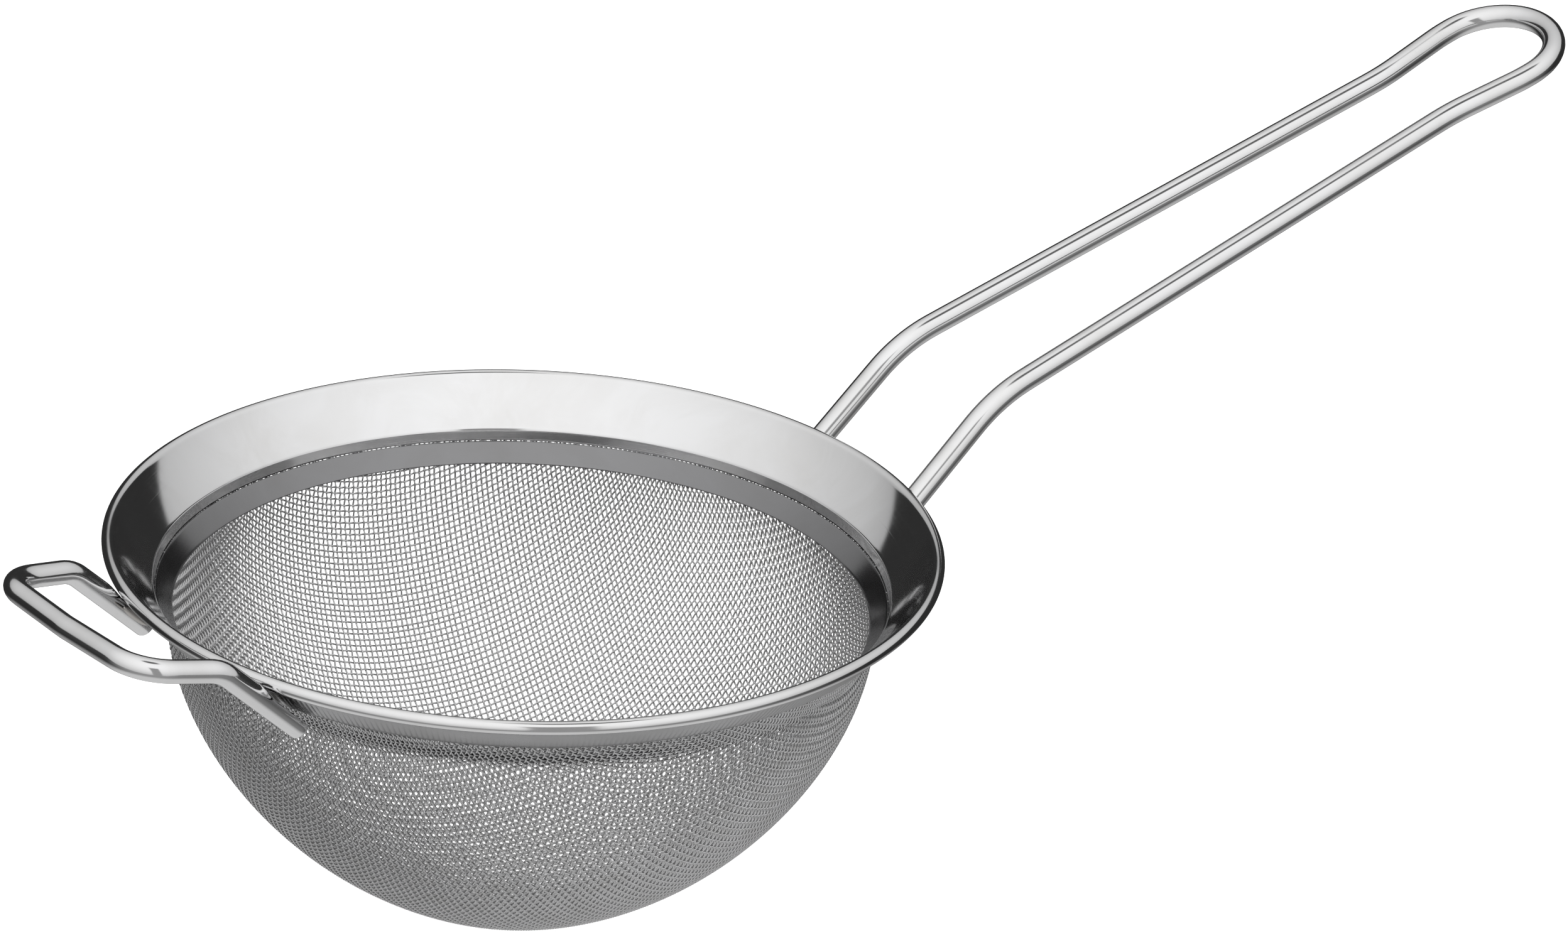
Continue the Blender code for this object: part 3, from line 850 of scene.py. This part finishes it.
def woven_steel(tint):
    """Bright drawn wire of the cloth, with a soft change of tone from wire to wire."""
    material = bpy.data.materials.new("woven_steel")
    material.use_nodes = True
    tree = material.node_tree
    shader = tree.nodes["Principled BSDF"]
    shader.inputs["Metallic"].default_value = 1.0
    worn = add(tree, "ShaderNodeGroup", node_tree=shared_group("handling", handling_group))
    worn.inputs["Size"].default_value = 0.004
    worn.inputs["Amount"].default_value = 0.10
    base = add(tree, "ShaderNodeMix", {"Factor": 1.0, "A": (*tint, 1.0), "B": worn.outputs["Tint"]},
               data_type="RGBA", blend_type="MULTIPLY")
    tree.links.new(base.outputs["Result"], shader.inputs["Base Color"])
    wire_roughness = 0.20
    rough = add(tree, "ShaderNodeMath", {0: worn.outputs["Gain"], 1: wire_roughness}, operation="ADD")
    tree.links.new(rough.outputs[0], shader.inputs["Roughness"])
    return material


def plain(name, tint, roughness, glow=0.0):
    """A plain material for the studio."""
    material = bpy.data.materials.new(name)
    material.use_nodes = True
    shader = material.node_tree.nodes["Principled BSDF"]
    shader.inputs["Base Color"].default_value = (*tint, 1.0)
    shader.inputs["Roughness"].default_value = roughness
    shader.inputs["Specular IOR Level"].default_value = 0.0
    if glow:
        shader.inputs["Emission Color"].default_value = (1.0, 1.0, 1.0, 1.0)
        shader.inputs["Emission Strength"].default_value = glow
    return material


# ---------------------------------------------------------------- stage

def towards(azimuth, elevation):
    """The unit vector of a direction, angles in degrees."""
    a, e = math.radians(azimuth), math.radians(elevation)
    return Vector((math.cos(a) * math.cos(e), math.sin(a) * math.cos(e), math.sin(e)))


def make_floor(tint, glow):
    """A wide pale floor that the polished steel doesn't mirror."""
    half = 4.0
    mesh = bpy.data.meshes.new("floor")
    mesh.from_pydata([(-half, -half, 0), (half, -half, 0), (half, half, 0), (-half, half, 0)], [],
                     [(0, 1, 2, 3)])
    mesh.materials.append(plain("pale_floor", tint, 0.9, glow))
    item = bpy.data.objects.new("floor", mesh)
    item.visible_glossy = False
    bpy.context.scene.collection.objects.link(item)


def make_overhead_light(watts):
    """A broad soft light that brightens the floor and isn't mirrored by the steel."""
    data = bpy.data.lights.new("overhead_light", "AREA")
    data.shape = "SQUARE"
    data.size = 3.0
    data.energy = watts
    item = bpy.data.objects.new("overhead_light", data)
    item.location.z = 2.5
    item.visible_glossy = False
    bpy.context.scene.collection.objects.link(item)


def make_camera(stage):
    """Camera at its azimuth, elevation, distance and roll about the aim point."""
    e, a = stage.elevation, stage.azimuth
    back = Vector((math.cos(a) * math.cos(e), math.sin(a) * math.cos(e), math.sin(e)))
    data = bpy.data.cameras.new("camera")
    data.lens = stage.lens
    data.sensor_width = 36.0
    data.clip_end = 50.0
    item = bpy.data.objects.new("camera", data)
    forward = -back
    level = forward.cross(Vector((0.0, 0.0, 1.0))).normalized()
    upright = level.cross(forward)
    up = upright * math.cos(stage.roll) + level * math.sin(stage.roll)
    right = forward.cross(up)
    turn = Matrix((right, up, back)).transposed().to_4x4()
    item.matrix_world = Matrix.Translation(Vector(stage.aim) + back * stage.distance) @ turn
    bpy.context.scene.collection.objects.link(item)
    bpy.context.scene.camera = item


def make_world(strength):
    """A soft white tent: bright above and behind the camera, dark low down at the back.

    With d the direction of a ray, the tone is a ramp over the dot product of d
    with the tent's brightest direction. It is cut off below a tilted horizon,
    and dimmed in a gap overhead and in an upright gap where the camera stands.
    A dark flag low at the back dims what is seen by way of two reflections.
    Under the horizon the ground brightens towards the camera and straight down.
    """
    world = bpy.data.worlds.new("light_tent")
    world.use_nodes = True
    tree = world.node_tree
    ray = add(tree, "ShaderNodeTexCoord").outputs["Generated"]

    def along(azimuth, elevation):
        return add(tree, "ShaderNodeVectorMath", {0: ray, 1: towards(azimuth, elevation)},
                   operation="DOT_PRODUCT").outputs["Value"]

    def step(value, low, high, first=0.0, last=1.0, kind="SMOOTHSTEP"):
        return add(tree, "ShaderNodeMapRange", {"Value": value, "From Min": low, "From Max": high,
                                                "To Min": first, "To Max": last},
                   interpolation_type=kind).outputs[0]

    def maths(operation, one, other=0.0):
        return add(tree, "ShaderNodeMath", {0: one, 1: other}, operation=operation).outputs[0]

    tone = add(tree, "ShaderNodeValToRGB", {"Fac": step(along(*TENT_PEAK), -1.0, 1.0, kind="LINEAR")})
    ramp = tone.color_ramp.elements
    ramp[0].position, ramp[1].position = TENT_TONES[0][0], TENT_TONES[-1][0]
    for place, value in TENT_TONES[1:-1]:
        ramp.new(place)
    for stop, (place, value) in zip(ramp, TENT_TONES):
        stop.color = (value, value, value, 1.0)
    tent = maths("MULTIPLY", tone.outputs["Color"], step(along(*HORIZON_POLE), -0.012, 0.02))
    overhead = step(along(*OVERHEAD_GAP), towards(0.0, 78.0).z, towards(0.0, 84.0).z, 1.0, 0.12)
    beside = step(maths("ABSOLUTE", along(CAMERA_GAP + 90.0, 0.0)), 0.10, 0.19)
    above = step(along(0.0, 90.0), towards(0.0, 34.0).z, towards(0.0, 44.0).z)
    behind = step(along(CAMERA_GAP, 0.0), 0.55, 0.75, 1.0, 0.0)
    outside = maths("MAXIMUM", maths("MAXIMUM", beside, above), behind)
    upright = step(outside, 0.0, 1.0, 0.08, 1.0)
    twice = step(add(tree, "ShaderNodeLightPath").outputs["Glossy Depth"], 1.4, 1.6)
    flag = maths("SUBTRACT", 1.0, maths("MULTIPLY", twice, step(along(*FLAG), 0.17, 0.34, 0.0, 0.95)))
    lit = maths("MULTIPLY", maths("MULTIPLY", maths("MULTIPLY", tent, overhead), upright), flag)
    near = step(along(VIEW_AZIMUTH, 0.0), -0.3, 0.9, 0.03, 0.34)
    ground = maths("MAXIMUM", near, step(along(0.0, -90.0), 0.40, 0.90, 0.0, 0.66))
    shade = tree.nodes["Background"]
    shade.inputs["Color"].default_value = (1.0, 1.0, 1.0, 1.0)
    tree.links.new(maths("MULTIPLY", maths("MAXIMUM", lit, ground), strength), shade.inputs["Strength"])
    bpy.context.scene.world = world


# ---------------------------------------------------------------- operators

class STRAINER_OT_rim(bpy.types.Operator):
    """Make the polished flange with its turned lip and rolled bead"""
    bl_idname = "strainer.rim"
    bl_label = "Rim"

    def execute(self, context):
        rim, finish = context.scene.strainer_rim, context.scene.strainer_finish
        points, faces, corner_map = turned_ring(rim_profile(rim))
        material = steel("polished_rim", finish.polished, finish.polish, spacing=0.22 * MM,
                         length_along=50.0 * MM, depth=0.0012 * MM, smudge=0.05, ripple=0.012 * MM)
        make_piece("rolled_rim", points, faces, material, ["rim_flange"], corner_map)
        return {"FINISHED"}


class STRAINER_OT_bands(bpy.types.Operator):
    """Make the satin band inside the neck and the ribbed skirt outside"""
    bl_idname = "strainer.bands"
    bl_label = "Bands"

    def execute(self, context):
        rim, finish = context.scene.strainer_rim, context.scene.strainer_finish
        points, faces, corner_map = turned_ring(band_profile(rim, rim_face(rim)))
        # The band's satin steel carries painted shade: its colour is darker than the skirt's.
        satin = steel("satin_band", finish.band, finish.sheen, spacing=0.12 * MM,
                      length_along=20.0 * MM, depth=0.004 * MM, smudge=0.08)
        make_piece("neck_band", points, faces, satin, ["inner_band"], corner_map)
        points, faces, corner_map = skirt_points(rim, rim.ribs * RIB_STEPS)
        satin = steel("satin_skirt", finish.satin, finish.grain, spacing=0.12 * MM,
                      length_along=8.0 * MM, depth=0.004 * MM, smudge=0.08)
        make_piece("ribbed_skirt", points, faces, satin, ["clamp_skirt"], corner_map)
        return {"FINISHED"}


class STRAINER_OT_cloth(bpy.types.Operator):
    """Weave the wire cloth over the bowl, in bundles of warp and weft wires"""
    bl_idname = "strainer.cloth"
    bl_label = "Cloth"

    def execute(self, context):
        rim, cloth = context.scene.strainer_rim, context.scene.strainer_cloth
        bowl = BowlLine(rim, cloth)
        random = np.random.default_rng(cloth.seed)
        count = math.ceil(bowl.end / cloth.pitch) + 2
        warp_lines = cloth_lines(count, cloth.pitch, random)
        weft_lines = cloth_lines(count, cloth.pitch, random)
        material = woven_steel(context.scene.strainer_finish.woven)
        for name, across, along, is_warp in (("warp", warp_lines, weft_lines, True),
                                             ("weft", weft_lines, warp_lines, False)):
            rings, used = woven_wires(bowl, cloth, across, along, is_warp)
            reach = np.cumsum(used.sum(axis=1))
            bundle = np.minimum(reach * BUNDLES // (reach[-1] + 1), BUNDLES - 1)
            for k in range(BUNDLES):
                mine = bundle == k
                points, faces = woven_piece(rings[mine], used[mine])
                make_piece(f"{name}_wires_{k}", points, faces, material, ["mesh_basket"])
        return {"FINISHED"}


class STRAINER_OT_handle(bpy.types.Operator):
    """Make the polished hairpin handle wire"""
    bl_idname = "strainer.handle"
    bl_label = "Handle"

    def execute(self, context):
        scene = context.scene
        points, faces, corner_map = wire_surface(handle_path(scene.strainer_wires), scene.strainer_wires,
                                                 scene.strainer_rim)
        material = drawn_wire("polished_wire", scene.strainer_finish)
        make_piece("hairpin_handle", points, faces, material, ["handle_wire"], corner_map)
        return {"FINISHED"}


class STRAINER_OT_rest(bpy.types.Operator):
    """Make the bent wire that rests on a cup's edge"""
    bl_idname = "strainer.rest"
    bl_label = "Rest"

    def execute(self, context):
        scene = context.scene
        points, faces, corner_map = wire_surface(rest_path(scene.strainer_wires), scene.strainer_wires,
                                                 scene.strainer_rim)
        material = drawn_wire("rest_wire", scene.strainer_finish)
        make_piece("bent_rest", points, faces, material, ["front_rest_wire"], corner_map)
        return {"FINISHED"}


class STRAINER_OT_welds(bpy.types.Operator):
    """Make the four weld beads that hold the handle and the rest"""
    bl_idname = "strainer.welds"
    bl_label = "Welds"

    def execute(self, context):
        wires = context.scene.strainer_wires
        material = steel("weld_metal", context.scene.strainer_finish.weld, 0.32, spacing=0.2 * MM,
                         length_along=0.6 * MM, depth=0.01 * MM, smudge=0.12)
        for part, lean in (("handle", HANDLE_ROOT), ("rest", REST_ROOT)):
            for hand in ("left", "right"):
                points, faces, corner_map = weld_surface(f"{part}_weld_{hand}", wires, lean)
                make_piece(f"{part}_weld_drop_{hand}", points, faces, material,
                           [f"{part}_weld_{hand}"], corner_map)
        return {"FINISHED"}


class STRAINER_OT_stage(bpy.types.Operator):
    """Set up the floor, the soft light and the camera"""
    bl_idname = "strainer.stage"
    bl_label = "Stage"

    def execute(self, context):
        stage = context.scene.strainer_stage
        make_camera(stage)
        make_world(stage.daylight)
        make_floor(stage.floor, stage.glow)
        make_overhead_light(stage.watts)
        context.scene.view_settings.view_transform = "Standard"
        return {"FINISHED"}


class STRAINER_PT_panel(bpy.types.Panel):
    """Lists the strainer's pieces, in the order they are made"""
    bl_idname = "STRAINER_PT_panel"
    bl_label = "Hand strainer"
    bl_space_type = "VIEW_3D"
    bl_region_type = "UI"
    bl_category = "Strainer"

    def draw(self, context):
        for operator in OPERATORS:
            self.layout.operator(operator.bl_idname)
        for name in SETTINGS:
            box = self.layout.box()
            group = getattr(context.scene, name)
            for key in group.bl_rna.properties.keys():
                if key not in {"rna_type", "name"}:
                    box.prop(group, key)


OPERATORS = (STRAINER_OT_rim, STRAINER_OT_bands, STRAINER_OT_cloth, STRAINER_OT_handle, STRAINER_OT_rest,
             STRAINER_OT_welds, STRAINER_OT_stage)
SETTINGS = {"strainer_rim": StrainerRim, "strainer_cloth": StrainerCloth, "strainer_wires": StrainerWires,
            "strainer_finish": StrainerFinish, "strainer_stage": StrainerStage}


def register():
    """Register the settings, the operators and the panel."""
    for name, group in SETTINGS.items():
        bpy.utils.register_class(group)
        setattr(bpy.types.Scene, name, bpy.props.PointerProperty(type=group))
    for item in (*OPERATORS, STRAINER_PT_panel):
        bpy.utils.register_class(item)


def unregister():
    """Undo register, last class first."""
    for item in (STRAINER_PT_panel, *reversed(OPERATORS)):
        bpy.utils.unregister_class(item)
    for name, group in reversed(SETTINGS.items()):
        delattr(bpy.types.Scene, name)
        bpy.utils.unregister_class(group)


def main():
    """Make every piece and the studio."""
    register()
    for operator in OPERATORS:
        family, action = operator.bl_idname.split(".")
        getattr(getattr(bpy.ops, family), action)()


if __name__ == "__main__":
    main()
